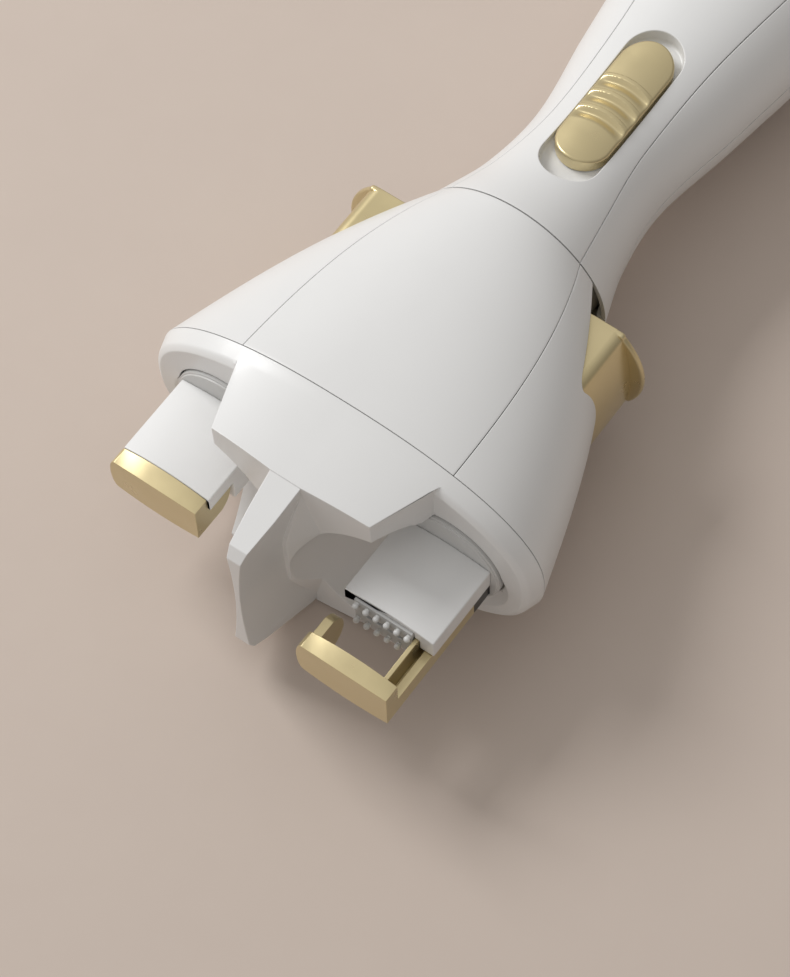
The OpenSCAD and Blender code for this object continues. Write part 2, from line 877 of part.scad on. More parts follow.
module charge_board() {
  color(board_green) place()
    translate([-charge_board_w / 2, charge_y, -socket_h / 2 - board_t])
      cube([charge_board_w, socket_y + socket_len - 2.5 - charge_y, board_t]);
}

module charge_socket() {
  color(metal) place()
    along(socket_y, socket_y + socket_len)
      difference() {
        slot_outline(socket_w, socket_h);
        slot_outline(socket_w - 0.7, socket_h - 0.7);
      }
}

module slot_outline(w, h) {
  for (s = [-1, 1]) translate([s * (w - h) / 2, 0]) circle(h / 2, $fn = 48);
  square([w - h, h], center = true);
}

module end_cap() {
  color(gloss_white) place()
    difference() {
      union() {
        loft_end([[cap_y, 0], [cap_y + 3, 0.25], [cap_y + 5.5, 1.4], [cap_y + 7.2, 3.2], [grip_end, 5.4]]);
        along(cap_y - spigot_len, cap_y + 1)
          difference() {
            section(cap_y - spigot_len, wall + seat_gap + 0.3);
            section(cap_y - spigot_len, wall + 1.8);
          }
      }
      along(cap_y - 1, grip_end - 2.4) section(cap_y, wall + 3.4);
      along(grip_end - 3, grip_end + 1) slot_outline(socket_w + 0.4, socket_h + 0.4);
    }
}

// The rounded end of the grip, every ring an inset copy of the last section
module loft_end(rows, count = 60) {
  n = len(rows);
  pts = [
    for (r = rows) for (j = [0 : count - 1])
      let (q = skin_point(cap_y, j * 360 / count, r[1])) [q[0], r[0], q[2]]
  ];
  faces = [
    for (i = [0 : n - 2]) for (j = [0 : count - 1])
      let (j1 = (j + 1) % count)
      each quad(i * count + j, i * count + j1, (i + 1) * count + j1, (i + 1) * count + j),
    [for (j = [count - 1 : -1 : 0]) j],
    [for (j = [0 : count - 1]) (n - 1) * count + j],
  ];
  polyhedron(pts, faces, convexity = 4);
}

module battery_cell() {
  color("#3f6fa8") place()
    translate([0, 0, cell_drop]) {
      rod(cell_r, cell_y, cell_y + cell_len);
      rod(3, cell_y + cell_len - eps, cell_y + cell_len + 1.2);
    }
}

module neck_bearing() {
  bearing_end = circlip_y - 0.3;
  color(soft_white) place()
    along(grip_y + 0.2, bearing_end)
      difference() {
        section(bearing_end, wall + seat_gap);
        circle(collar_r + run_fit, $fn = 96);
      }
}

// Slide switch -----------------------------------------------------------------------------------

button_y = recess_y + recess_len / 2 - button_rest - button_len / 2;
stem_y = button_y - button_travel / 2;
stem_len = 9;
stem_w = 4;
board_z = motor_r + 0.3;
switch_len = 22;
switch_w = 8;

module switch_button() {
  dome_r = 14.5;
  groove_r = 3;
  base_z = recess_floor + button_gap;
  color(champagne) place() {
    intersection() {
      translate([0, button_y, base_z])
        linear_extrude(10) stadium(button_len, button_w);
      difference() {
        translate([0, button_y, button_top - dome_r]) rod(dome_r, -button_len, button_len);
        for (k = [-1, 0, 1])
          translate([0, button_y + k * 4.4, button_top + groove_r - 0.7])
            rotate([0, 90, 0]) cylinder(r = groove_r, h = 2 * button_w, center = true, $fn = 96);
      }
    }
    translate([0, button_y, board_z + board_t + 1.1])
      linear_extrude(base_z - board_z - board_t - 1) stadium(stem_len, stem_w);
  }
}

module control_board() {
  color(board_green) place()
    translate([-board_w / 2, recess_y - board_len / 2, board_z])
      cube([board_w, board_len, board_t]);
}

module slide_switch() {
  color(metal) place()
    difference() {
      translate([-switch_w / 2, stem_y - switch_len / 2, board_z + board_t])
        cube([switch_w, switch_len, recess_floor - tray_t - board_z - board_t - seat_gap]);
      translate([0, stem_y, board_z + board_t + 0.8])
        linear_extrude(5) stadium(stem_len + button_travel + 1.2, stem_w + 0.6);
    }
}

// Clips ------------------------------------------------------------------------------------------
// A clip is drawn with its rotor on the axis; u is x away from the divider.

crown_n = 8;
function crowned(w, h) = [for (u = steps(w, -w, crown_n)) [u, h * (1 - u * u / w / w)]];

// Outline of the clip, with crowned front and back; one side may bulge
function clip_points(w, front_crown, bulge = 0) = concat(
  [for (p = crowned(w, front_crown)) [p[0], clip_front + p[1]]],
  bulge > 0 ? [for (a = steps(0, 180, 8)) if (a > 10 && a < 170)
    [-w - bulge * sin(a), clip_front - (clip_front + clip_back) * (1 - cos(a)) / 2]] : [],
  [for (p = crowned(-w, crown * 0.8)) [p[0], -clip_back - p[1]]]
);

cap_bulge = 1.4;
finger_w = 1.9;
finger_z = 4.2;
arm_z = -0.5;
arm_in = 5.8;
arm_wall = 0.9;
rail_in = 7.9;
rail_z = 2.4;
side_skin_z = 1;
jaw_l = -clamp_w + finger_w + slide_gap;
jaw_r = arm_in - slide_gap;
jaw_z = 4.2;

module box2(x0, x1, z0, z1) {
  translate([x0, z0]) square([x1 - x0, z1 - z0]);
}

// Room for the long arm and its slide
module arm_room() {
  box2(jaw_r, clip_w + 1, -clip_back - 3, arm_z + slide_gap);
  box2(jaw_r, arm_in + arm_wall + slide_gap, -clip_back - 3, rail_z + slide_gap);
}

module clip_body_shape() {
  difference() {
    along(-clip_len, -disc_out) polygon(clip_points(clip_w, crown));
    along(-clip_len - 1, -disc_out + 1) arm_room();
    along(-clip_len - 1, -disc_out - 2)
      box2(jaw_l - eps, jaw_r, -jaw_z - 0.1, jaw_z + 0.1);
    along(-clip_len - 1, -clip_len + finger_len + 0.4) {
      box2(-clamp_w - slide_gap, jaw_l, -clip_back - 3, finger_z + slide_gap);
      box2(-clip_w - 1, jaw_l, -clip_back - 3, side_skin_z);
    }
  }
}

module clip_jaw_shape() {
  jaw_face = clip_len + 0.5;
  along(-jaw_face, -disc_out - 6)
    difference() {
      box2(jaw_l + 0.05, jaw_r - 0.05, -jaw_z, jaw_z);
      box2(jaw_l + 1.5, jaw_r - 1.5, -0.6, 0.6);
    }
}

function bump_u(i) = (jaw_l + jaw_r) / 2 + (i - (bumps - 1) / 2) * bump_pitch;

module jaw_bumps_shape() {
  jaw_face = clip_len + 0.5;
  for (i = [0 : bumps - 1]) for (s = [-1, 1])
    translate([bump_u(i), -jaw_face - bump_r - eps, s * 2.9]) {
      sphere(bump_r, $fn = 48);
      rod(bump_r * 0.8, 0, bump_r);
    }
}

module rotor_disc_shape() {
  difference() {
    union() {
      rod(disc_r, -disc_out + 0.4, floor_top - 0.1);
      rod(disc_r - 0.4, -disc_out, -disc_out + 0.5);
      rod(hub_r, -disc_out + 0.5, hub_top);
    }
    along(-disc_out - 1, hub_top - 1)
      box2(jaw_r, clamp_w + slide_gap, -clip_back - slide_gap, arm_z + slide_gap);
    along(-disc_out - 1, arm_len - clip_len + 0.5)
      box2(jaw_r, arm_in + arm_wall + slide_gap, -clip_back - slide_gap, rail_z + slide_gap);
  }
}

// The clamp, closed; side is the side of its rounded end
module clamp_shape(side) {
  cap_far = -clip_len - cap_t;
  pocket = 2.3;
  difference() {
    mirror([side > 0 ? 1 : 0, 0, 0]) clip_cap(cap_far, -clip_len - 0.1);
    along(-clip_len - pocket, -clip_len + 1)
      box2(jaw_l - 0.05, jaw_r + 0.05, -jaw_z - 0.3, jaw_z + 0.3);
  }
  // Short finger with a rounded tip
  intersection() {
    along(cap_far + 1, -clip_len + finger_len)
      box2(-clamp_w, -clamp_w + finger_w, -clip_back, finger_z);
    rotate([90, 0, 90])
      translate([0, 0, -2 * clamp_w])
        linear_extrude(4 * clamp_w) {
          translate([-clip_len + finger_len - 5, -0.4]) circle(5, $fn = 96);
          translate([cap_far, -10]) square([cap_t + finger_len - 5, 20]);
        }
  }
  // Long arm, a channel open to the front
  along(cap_far + 1, -clip_len + arm_len)
    union() {
      box2(rail_in, clamp_w, -clip_back, arm_z);
      box2(arm_in, clamp_w, -clip_back, -clip_back + 1.4);
      box2(arm_in, arm_in + arm_wall, -clip_back, rail_z);
    }
}

// The clamp's end plate, crowned in front where it meets the body and straight at its far edge
module clip_cap(y0, y1) {
  far = clip_points(clamp_w, 0, cap_bulge);
  near = clip_points(clamp_w, crown, cap_bulge);
  n = len(far);
  pts = concat(
    [for (p = far) [p[0], y0, p[1]]],
    [for (p = near) [p[0], y1, p[1]]]
  );
  faces = [
    for (j = [0 : n - 1]) let (k = (j + 1) % n) each quad(j, k, n + k, n + j),
    [for (j = [n - 1 : -1 : 0]) j],
    [for (j = [0 : n - 1]) n + j],
  ];
  polyhedron(pts, faces, convexity = 2);
}

module clamp_slide_shape() {
  along(-clip_len + arm_len, -clip_len + arm_len + slide_len)
    box2(arm_in, clamp_w, -clip_back, arm_z);
}

module on_rotor(s, shift = 0) {
  place() translate([s * rotor_x, -shift, 0]) mirror([s < 0 ? 1 : 0, 0, 0]) children();
}

module rotor_disc_left() { color(soft_white) on_rotor(-1) rotor_disc_shape(); }
module rotor_disc_right() { color(soft_white) on_rotor(1) rotor_disc_shape(); }
module clip_body_left() { color(gloss_white) on_rotor(-1) clip_body_shape(); }
module clip_body_right() { color(gloss_white) on_rotor(1) clip_body_shape(); }
module clip_jaw_left() { color(jaw_grey) on_rotor(-1) clip_jaw_shape(); }
module clip_jaw_right() { color(jaw_grey) on_rotor(1) clip_jaw_shape(); }
module jaw_bumps_left() { color(gloss_white) on_rotor(-1) jaw_bumps_shape(); }
module jaw_bumps_right() { color(gloss_white) on_rotor(1) jaw_bumps_shape(); }
module clamp_left() { color(champagne) on_rotor(-1) clamp_shape(1); }
module clamp_right() { color(champagne) on_rotor(1, clamp_open) clamp_shape(-1); }
module clamp_slide_left() { color(slide_black) on_rotor(-1) clamp_slide_shape(); }
module clamp_slide_right() { color(slide_black) on_rotor(1, clamp_open) clamp_slide_shape(); }

module rotor_gear_left() {
  color(soft_white) place() translate([-rotor_x, 0, 0]) gear(rotor_teeth, 0, hub_r + press_gap);
}

module rotor_gear_right() {
  color(soft_white) place() translate([rotor_x, 0, 0]) gear(rotor_teeth, 0.5, hub_r + press_gap);
}

// Side levers ------------------------------------------------------------------------------------

// Outline of the lever across its travel: flat front and bowed outer side
module lever_outline(grow) {
  offset(delta = grow) lever_flat();
}

module lever_flat() {
  bow_x = lever_x - lever_bow;
  bow_z = -3.5;
  crease_z = lever_front - crease_r;
  crease_x = bow_x + sqrt(pow(lever_bow - crease_r, 2) - pow(crease_z - bow_z, 2));
  round_end = bow_z + lever_bow * (crease_z - bow_z) / (lever_bow - crease_r);
  intersection() {
    translate([bow_x, bow_z]) circle(lever_bow, $fn = 360);
    union() {
      box2(lever_in, crease_x, -lever_back, lever_front);
      box2(lever_in, lever_x, -lever_back, round_end);
      translate([crease_x, crease_z]) circle(crease_r, $fn = 96);
    }
  }
}

module lever_shape() {
  skin_t = 1.6;
  flange_z = -1.8;
  y0 = lever_top - lever_len;
  difference() {
    along(y0, lever_top) lever_flat();
    along(y0 - 1, lever_top - skin_t)
      box2(lever_in - 1, lever_x - 7, -lever_back + skin_t, lever_front - skin_t);
  }
  // Thumb flange, a thin lip round the outer side
  along(lever_top - flange_t, lever_top)
    intersection() {
      translate([lever_x + flange_out - flange_r, flange_z]) circle(flange_r, $fn = 240);
      box2(lever_x - 5, lever_x + flange_out, -lever_back, lever_front);
    }
}

module lever_left() { color(champagne) place() mirror([1, 0, 0]) lever_shape(); }
module lever_right() { color(champagne) place() lever_shape(); }
module rotor_bush_left() { rotor_bush(-1); }
module rotor_bush_right() { rotor_bush(1); }

handle_front_shell();
handle_back_shell();
handle_front_panel();
end_cap();
battery_cell();
drive_motor();
gearbox();
control_board();
slide_switch();
charge_board();
charge_socket();
neck_bearing();
handle_screws();
switch_button();
head_front_panel();
head_back_shell();
head_base();
gear_plate();
gear_plate_screws();
neck_collar();
neck_circlip();
rotor_bush_left();
rotor_bush_right();
drive_shaft();
sun_gear();
shaft_coupler();
rotor_disc_left();
rotor_gear_left();
clip_body_left();
clip_jaw_left();
jaw_bumps_left();
rotor_disc_right();
rotor_gear_right();
clip_body_right();
clip_jaw_right();
jaw_bumps_right();
clamp_left();
clamp_slide_left();
clamp_right();
clamp_slide_right();
lever_left();
lever_right();
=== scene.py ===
import json
import math

import bpy
from mathutils import Matrix, Vector


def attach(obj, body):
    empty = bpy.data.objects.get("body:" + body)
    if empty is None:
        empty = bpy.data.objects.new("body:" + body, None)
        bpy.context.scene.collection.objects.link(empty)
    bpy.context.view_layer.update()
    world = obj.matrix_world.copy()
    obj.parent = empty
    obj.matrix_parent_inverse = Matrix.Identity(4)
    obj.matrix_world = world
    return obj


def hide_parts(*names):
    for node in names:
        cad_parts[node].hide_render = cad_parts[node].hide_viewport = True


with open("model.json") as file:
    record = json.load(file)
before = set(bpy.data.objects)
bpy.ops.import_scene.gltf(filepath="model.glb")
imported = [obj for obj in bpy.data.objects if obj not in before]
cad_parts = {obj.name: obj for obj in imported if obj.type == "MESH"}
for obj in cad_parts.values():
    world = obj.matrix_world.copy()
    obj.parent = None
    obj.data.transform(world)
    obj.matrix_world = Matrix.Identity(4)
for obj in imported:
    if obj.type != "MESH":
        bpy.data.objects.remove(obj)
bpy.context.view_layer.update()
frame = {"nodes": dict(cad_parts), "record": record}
nodes = frame["nodes"]
record = frame["record"]

# Sizes in millimetres, as in the part's source: y runs from the mouth of the head to the grip's
# end, z is the height above the axis.
MM = 0.001
REST_H = 24.7
GRIP_END = 200
CLIP_FAR = 34.6
MID_Y = (GRIP_END - CLIP_FAR) / 2

HEAD_W = 89.2
HEAD_FRONT = 24.5
HEAD_BACK = 25.2
RIM_IN = 0.9
BAND_H = 2.9
HEAD_LEN = 57
NECK_R = 21.4
BELL_SLOPE = 0.7
MOUTH_SQUARE = 2.33
NECK_SQUARE = 2
GRIP_SQUARE = 2.08
WALL = 2
SEAM = 0.15
NECK_GAP = 0.3
SEAM_AT_BAND = 0.54
SEAM_AT_NECK = 0.71

WAIST_W = 31.4
WAIST_Y = 86
BELLY_W = 46.4
BELLY_FRONT = 18.4
BELLY_BACK = 25.2
BELLY_Y = 165
CAP_LEN = 8
CAP_Y = GRIP_END - CAP_LEN
PANEL_T = 0.9
STEP_TURN = 0.5
SPLIT_TURN = 0.3

# Along the grip: place, half width, front, back, and the side seam's share of the half width
GRIP_KNOTS = [
    (HEAD_LEN, NECK_R, NECK_R, NECK_R, SEAM_AT_NECK),
    (HEAD_LEN + 13, WAIST_W / 2 + 1.6, WAIST_W / 2 + 1.5, WAIST_W / 2 + 1.7, 0.72),
    (WAIST_Y, WAIST_W / 2, WAIST_W / 2 - 0.1, WAIST_W / 2 + 0.2, 0.66),
    (WAIST_Y + 22, WAIST_W / 2 + 3.3, WAIST_W / 2 + 0.3, WAIST_W / 2 + 2.8, 0.575),
    (BELLY_Y - 25, BELLY_W / 2 - 0.4, BELLY_FRONT - 0.4, BELLY_BACK - 1.6, 0.64),
    (BELLY_Y, BELLY_W / 2, BELLY_FRONT, BELLY_BACK, 0.68),
    (CAP_Y, BELLY_W / 2 - 2.2, BELLY_FRONT - 1.4, BELLY_BACK - 2.9, 0.68),
]

ROTOR_X = 25.875
LEVER_FRONT = 11
LEVER_BACK = 12.5
LEVER_X = 32
LEVER_IN = 18.5
LEVER_TOP = 51.4
LEVER_LEN = 21
LEVER_GAP = 0.3
LEVER_BOW = 40
LEVER_BOW_Z = -3.5
LEVER_ROOT = 6
CREASE_R = 2.5

RECESS_Y = 90.2
RECESS_W = 12.5
RECESS_FLOOR = 12.9
BUTTON_LEN = 32.5
BUTTON_W = 11.7
BUTTON_TOP = 16.9
BUTTON_GAP = 0.35
BUTTON_TRAVEL = 4.5
BUTTON_REST = 3.2
RECESS_LEN = BUTTON_LEN + BUTTON_TRAVEL + BUTTON_REST + 2 * BUTTON_GAP
BUTTON_Y = RECESS_Y + RECESS_LEN / 2 - BUTTON_REST - BUTTON_LEN / 2
STEM_Y = BUTTON_Y - BUTTON_TRAVEL / 2
STEM_LEN = 9
STEM_W = 4
STEM_LOW = 10.4

# FINE_EDGE eases the edges of thin mouldings, APART keeps two skins from lying in one another,
# and THROUGH reaches past the part on every side
FINE_EDGE = 0.12
APART = 0.02
THROUGH = 40
FLAT_SHARE = 0.2
FLAT_FROM = 88.0


def point(x, y, z):
    return Vector((x, y - MID_Y, z + REST_H)) * MM


# Camera at the photograph's viewing angle
CAMERA_TURN = 38.526
CAMERA_RISE = 61.887
CAMERA_ROLL = -3.032
CAMERA_AWAY = 641.68
CAMERA_RIGHT = 10.055
CAMERA_UP = -2.106
CAMERA_LENS = 154.4
SENSOR_W = 36


def place_camera():
    turn, rise, roll = (math.radians(v) for v in (CAMERA_TURN, CAMERA_RISE, CAMERA_ROLL))
    back = Vector((math.sin(turn) * math.cos(rise), -math.cos(turn) * math.cos(rise), math.sin(rise)))
    level = Vector((math.cos(turn), math.sin(turn), 0))
    steep = back.cross(level)
    right = level * math.cos(roll) + steep * math.sin(roll)
    up = steep * math.cos(roll) - level * math.sin(roll)
    seat = point(0, 0, 0) + (right * CAMERA_RIGHT + up * CAMERA_UP + back * CAMERA_AWAY) * MM
    bpy.ops.object.camera_add(location=seat)
    camera = bpy.context.object
    camera.name = "photo_camera"
    camera.rotation_euler = Matrix((right, up, back)).transposed().to_euler()
    camera.data.sensor_fit = "HORIZONTAL"
    camera.data.sensor_width = SENSOR_W
    camera.data.lens = CAMERA_LENS
    camera.data.clip_start = 0.05
    camera.data.clip_end = 20
    bpy.context.scene.camera = camera


place_camera()

# The skin of the head and grip ------------------------------------------------------------------


def clamp01(v):
    return max(0.0, min(1.0, v))


def signed_power(v, p):
    return math.copysign(abs(v) ** p, v)


def knot_slope(column, i):
    before, after = GRIP_KNOTS[max(0, i - 1)], GRIP_KNOTS[min(len(GRIP_KNOTS) - 1, i + 1)]
    return (after[column] - before[column]) / (after[0] - before[0])


def through_knots(column, y):
    i = max([k for k in range(len(GRIP_KNOTS) - 1) if y >= GRIP_KNOTS[k][0]] or [0])
    here, there = GRIP_KNOTS[i], GRIP_KNOTS[i + 1]
    h = there[0] - here[0]
    t = clamp01((y - here[0]) / h)
    bend = (t**3 - 2 * t**2 + t) * knot_slope(column, i) + (t**3 - t**2) * knot_slope(column, i + 1)
    rise = 3 * t**2 - 2 * t**3
    return here[column] * (1 - rise) + there[column] * rise + bend * h


def head_share(y):
    return clamp01((y - BAND_H) / (HEAD_LEN - BAND_H))


def outline(y):
    """Half width, front, back and squareness of the outer surface at y"""
    if y > HEAD_LEN:
        square = NECK_SQUARE + (GRIP_SQUARE - NECK_SQUARE) * clamp01((y - HEAD_LEN) / (WAIST_Y - HEAD_LEN))
        return through_knots(1, y), through_knots(2, y), through_knots(3, y), square
    t = head_share(y)
    bell = 1 - BELL_SLOPE * t - (1 - BELL_SLOPE) * t**3
    inset = RIM_IN * clamp01(1 - y / BAND_H)
    sides = [NECK_R + (size - NECK_R) * bell - inset for size in (HEAD_W / 2, HEAD_FRONT, HEAD_BACK)]
    return (*sides, MOUTH_SQUARE + (NECK_SQUARE - MOUTH_SQUARE) * t)


def seam_angle(y):
    if y > HEAD_LEN:
        share = through_knots(4, y)
    else:
        share = SEAM_AT_BAND + (SEAM_AT_NECK - SEAM_AT_BAND) * head_share(y)
    return math.degrees(math.acos(share ** (outline(y)[3] / 2)))


def half_gap(y):
    return math.degrees(SEAM / 2 / outline(y)[0])


def skin_point(y, angle, sunk=0.0, seat_y=None):
    """A point of the skin at y, angle degrees from +x towards the front; the back is flat to rest on"""
    half, front, back, square = outline(y)
    turn = math.radians(angle)
    power = 2 / square
    depth = (front if math.sin(turn) >= 0 else back) - sunk
    x = (half - sunk) * signed_power(math.cos(turn), power)
    z = max(depth * signed_power(math.sin(turn), power), sunk - REST_H)
    return point(x, y if seat_y is None else seat_y, z)


def skin_height(x, y):
    """Height of the front skin above the axis at x"""
    half, front, _, square = outline(y)
    return front * (1 - (abs(x) / half) ** square) ** (1 / square)


def rest_edge(y):
    """Angle below the sides where the flat back begins"""
    _, _, back, square = outline(y)
    if back <= REST_H:
        return FLAT_FROM
    return min(FLAT_FROM, math.degrees(math.asin((REST_H / back) ** (square / 2))))


def front_angle(y, f, turned=0.0):
    """From the left side seam over the front to the right one, as f goes from 0 to 1"""
    a = seam_angle(y) + half_gap(y) + turned
    return 180 - a - f * (180 - 2 * a)


def back_angle(y, f, first):
    """From angle first on the right, round the flat back to the same on the left"""
    edge = rest_edge(y)
    side = (1 - FLAT_SHARE) / 2
    if f <= side:
        return first - (first + edge) * f / side
    if f < 1 - side:
        return -edge - (180 - 2 * edge) * (f - side) / FLAT_SHARE
    return -180 + edge - (first + edge) * (f - 1 + side) / side


# Modelling helpers ------------------------------------------------------------------------------


def pick(piece):
    bpy.ops.object.select_all(action="DESELECT")
    piece.select_set(True)
    bpy.context.view_layer.objects.active = piece


def finish_with(piece, kind, **settings):
    pick(piece)
    modifier = piece.modifiers.new(kind.lower(), kind)
    for key, value in settings.items():
        setattr(modifier, key, value)
    bpy.ops.object.modifier_apply(modifier=modifier.name)


def cut(piece, tool, operation="DIFFERENCE"):
    finish_with(piece, "BOOLEAN", object=tool, operation=operation, solver="EXACT")
    bpy.data.objects.remove(tool)


def join(piece, *others):
    bpy.ops.object.select_all(action="DESELECT")
    for other in (piece, *others):
        other.select_set(True)
    bpy.context.view_layer.objects.active = piece
    bpy.ops.object.join()
    return piece


def round_edges(piece, width, angle=40, clamp=True):
    finish_with(piece, "BEVEL", width=width * MM, segments=3, limit_method="ANGLE",
                angle_limit=math.radians(angle), use_clamp_overlap=clamp, miter_outer="MITER_ARC")


def smooth(piece, angle=35):
    pick(piece)
    bpy.ops.object.shade_smooth_by_angle(angle=math.radians(angle))
    finish_with(piece, "WEIGHTED_NORMAL", keep_sharp=True)


def sheet(name, rows, columns, where):
    """A grid that is laid out in space: where gives the place for its row and column"""
    bpy.ops.object.select_all(action="DESELECT")
    bpy.ops.mesh.primitive_grid_add(x_subdivisions=columns, y_subdivisions=rows, size=1)
    piece = bpy.context.object
    piece.name = name
    for vertex in piece.data.vertices:
        column = round((vertex.co.x + 0.5) * columns)
        row = round((vertex.co.y + 0.5) * rows)
        vertex.co = where(row, column)
    return piece


def tidy_mesh(piece, fill=False, outward=True):
    pick(piece)
    bpy.ops.object.mode_set(mode="EDIT")
    bpy.ops.mesh.select_all(action="SELECT")
    bpy.ops.mesh.remove_doubles(threshold=0.002 * MM)
    bpy.ops.mesh.dissolve_degenerate(threshold=0.001 * MM)
    if fill:
        bpy.ops.mesh.select_all(action="SELECT")
        bpy.ops.mesh.fill_holes(sides=0)
    bpy.ops.mesh.select_all(action="SELECT")
    if outward:
        bpy.ops.mesh.normals_make_consistent(inside=False)
    bpy.ops.object.mode_set(mode="OBJECT")


def hoops(name, rings):
    """A tube through closed rings of points, with its ends filled"""
    count = len(rings[0])
    piece = sheet(name, len(rings) - 1, count, lambda row, column: rings[row][column % count])
    tidy_mesh(piece, fill=True)
    return piece


def prism(name, flat, low, high, place):
    """A flat outline stood up between two heights; place turns outline and height into a point"""
    return hoops(name, [[place(a, b, h) for a, b in flat] for h in (low, high)])


def circle(r, count):
    turns = [2 * math.pi * i / count for i in range(count)]
    return [(r * math.cos(t), r * math.sin(t)) for t in turns]


def stadium(length, width, arc=24, side=16):
    """Points round a slot with round ends, long side along y, and their outward directions"""
    r = width / 2
    run = (length - width) / 2
    found = []
    for end in (1, -1):
        for i in range(arc):
            t = math.pi * i / arc + (0 if end > 0 else math.pi)
            out = (math.cos(t), math.sin(t))
            found.append(((r * out[0], end * run + r * out[1]), out))
        for i in range(side):
            found.append(((-end * r, end * run * (1 - 2 * i / side)), (-end, 0.0)))
    return found


def slot_tool(name, y, length, width, low, high):
    flat = [p for p, _ in stadium(length, width)]
    return prism(name, flat, low, high, lambda a, b, h: point(a, y + b, h))


def ends_of(low, high, count):
    return [low + (high - low) * i / count for i in range(count + 1)]


def quarter_turn(count):
    return [math.pi / 2 * i / count for i in range(count + 1)]


# Finishes ---------------------------------------------------------------------------------------


GLOSS_SPREAD = 0.05
COAT_ROUGH = 0.12


def grainy(name, colour, deeper, rough, grain=0.25, depth=0.004, metallic=0.0, coat=0.0):
    """A moulded or coated surface: slow change of tone, uneven gloss and a fine grain in mm"""
    mat = bpy.data.materials.new(name)
    mat.use_nodes = True
    tree = mat.node_tree
    shade = tree.nodes["Principled BSDF"]
    shade.inputs["Metallic"].default_value = metallic
    shade.inputs["Coat Weight"].default_value = coat
    shade.inputs["Coat Roughness"].default_value = COAT_ROUGH
    place = tree.nodes.new("ShaderNodeTexCoord")

    def noise(scale, detail):
        speck = tree.nodes.new("ShaderNodeTexNoise")
        speck.inputs["Scale"].default_value = scale
        speck.inputs["Detail"].default_value = detail
        tree.links.new(place.outputs["Object"], speck.inputs["Vector"])
        return speck.outputs["Fac"]

    tone = tree.nodes.new("ShaderNodeMix")
    tone.data_type = "RGBA"
    tone.inputs["A"].default_value = (*colour, 1)
    tone.inputs["B"].default_value = (*deeper, 1)
    tree.links.new(noise(45, 3), tone.inputs["Factor"])
    tree.links.new(tone.outputs["Result"], shade.inputs["Base Color"])

    gloss = tree.nodes.new("ShaderNodeMapRange")
    gloss.inputs["From Min"].default_value = 0.3
    gloss.inputs["From Max"].default_value = 0.7
    gloss.inputs["To Min"].default_value = rough - GLOSS_SPREAD
    gloss.inputs["To Max"].default_value = rough + GLOSS_SPREAD
    tree.links.new(noise(160, 4), gloss.inputs["Value"])
    tree.links.new(gloss.outputs["Result"], shade.inputs["Roughness"])

    bump = tree.nodes.new("ShaderNodeBump")
    bump.inputs["Strength"].default_value = 0.5
    bump.inputs["Distance"].default_value = depth * MM
    tree.links.new(noise(1 / (grain * MM), 2), bump.inputs["Height"])
    tree.links.new(bump.outputs["Normal"], shade.inputs["Normal"])
    return mat


white_plastic = grainy("white_plastic", (0.8, 0.8, 0.795), (0.77, 0.77, 0.765), 0.36, coat=0.12)
champagne_coat = grainy("champagne_coat", (0.72, 0.61, 0.36), (0.67, 0.56, 0.31), 0.32,
                        grain=0.15, depth=0.006, metallic=0.78, coat=0.25)
gear_plastic = grainy("gear_plastic", (0.66, 0.66, 0.65), (0.62, 0.62, 0.61), 0.4)
jaw_plastic = grainy("jaw_plastic", (0.58, 0.58, 0.57), (0.54, 0.54, 0.535), 0.45, grain=0.3)
milky_rubber = grainy("milky_rubber", (0.78, 0.78, 0.77), (0.74, 0.74, 0.73), 0.3, grain=0.4)
black_slide = grainy("black_slide", (0.018, 0.018, 0.019), (0.024, 0.024, 0.025), 0.38)
turned_steel = grainy("turned_steel", (0.55, 0.55, 0.56), (0.5, 0.5, 0.51), 0.3, metallic=1.0)
bush_brass = grainy("bush_brass", (0.6, 0.47, 0.22), (0.55, 0.43, 0.2), 0.32, metallic=1.0)
green_board = grainy("green_board", (0.03, 0.15, 0.06), (0.025, 0.12, 0.05), 0.35, coat=0.3)
blue_wrap = grainy("blue_wrap", (0.05, 0.16, 0.38), (0.045, 0.14, 0.34), 0.3, coat=0.2)

FINISHES = {
    "gloss_white": white_plastic,
    "champagne": champagne_coat,
    "gear_white": gear_plastic,
    "jaw_grey": jaw_plastic,
    "bump_rubber": milky_rubber,
    "slide_black": black_slide,
    "steel": turned_steel,
    "bush_brass": bush_brass,
    "board_green": green_board,
    "cell_blue": blue_wrap,
}
slot_of = {part["node"]: part["material_slot"] for part in record["subparts"]}
body_of = {node: body for body, held in record["behaviour"]["bodies"].items() for node in held}
for name, node in nodes.items():
    node.data.materials.clear()
    node.data.materials.append(FINISHES[slot_of[name]])


def stand_for(piece, node):
    """The modelled piece takes the place of the CAD node"""
    piece.name = "fine_" + node
    piece.data.materials.clear()
    piece.data.materials.append(FINISHES[slot_of[node]])
    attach(piece, body_of[node])
    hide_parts(node)


# Shells of the head -----------------------------------------------------------------------------


def square_ends(piece, rows):
    """Keeps both ends of a wall within their planes across the axis"""
    low, high = point(0, rows[0], 0).y, point(0, rows[-1], 0).y
    for vertex in piece.data.vertices:
        vertex.co.y = max(low, min(high, vertex.co.y))


def shell(name, rows, columns, angle, thickness):
    """A curved wall: angle gives each column's place round the skin for a y and a share"""
    count = len(rows) - 1
    piece = sheet(name, count, columns,
                  lambda row, column: skin_point(rows[row], angle(rows[row], column / columns)))
    finish_with(piece, "SOLIDIFY", thickness=thickness * MM, offset=-1, use_even_offset=True)
    square_ends(piece, rows)
    round_edges(piece, FINE_EDGE)
    return piece


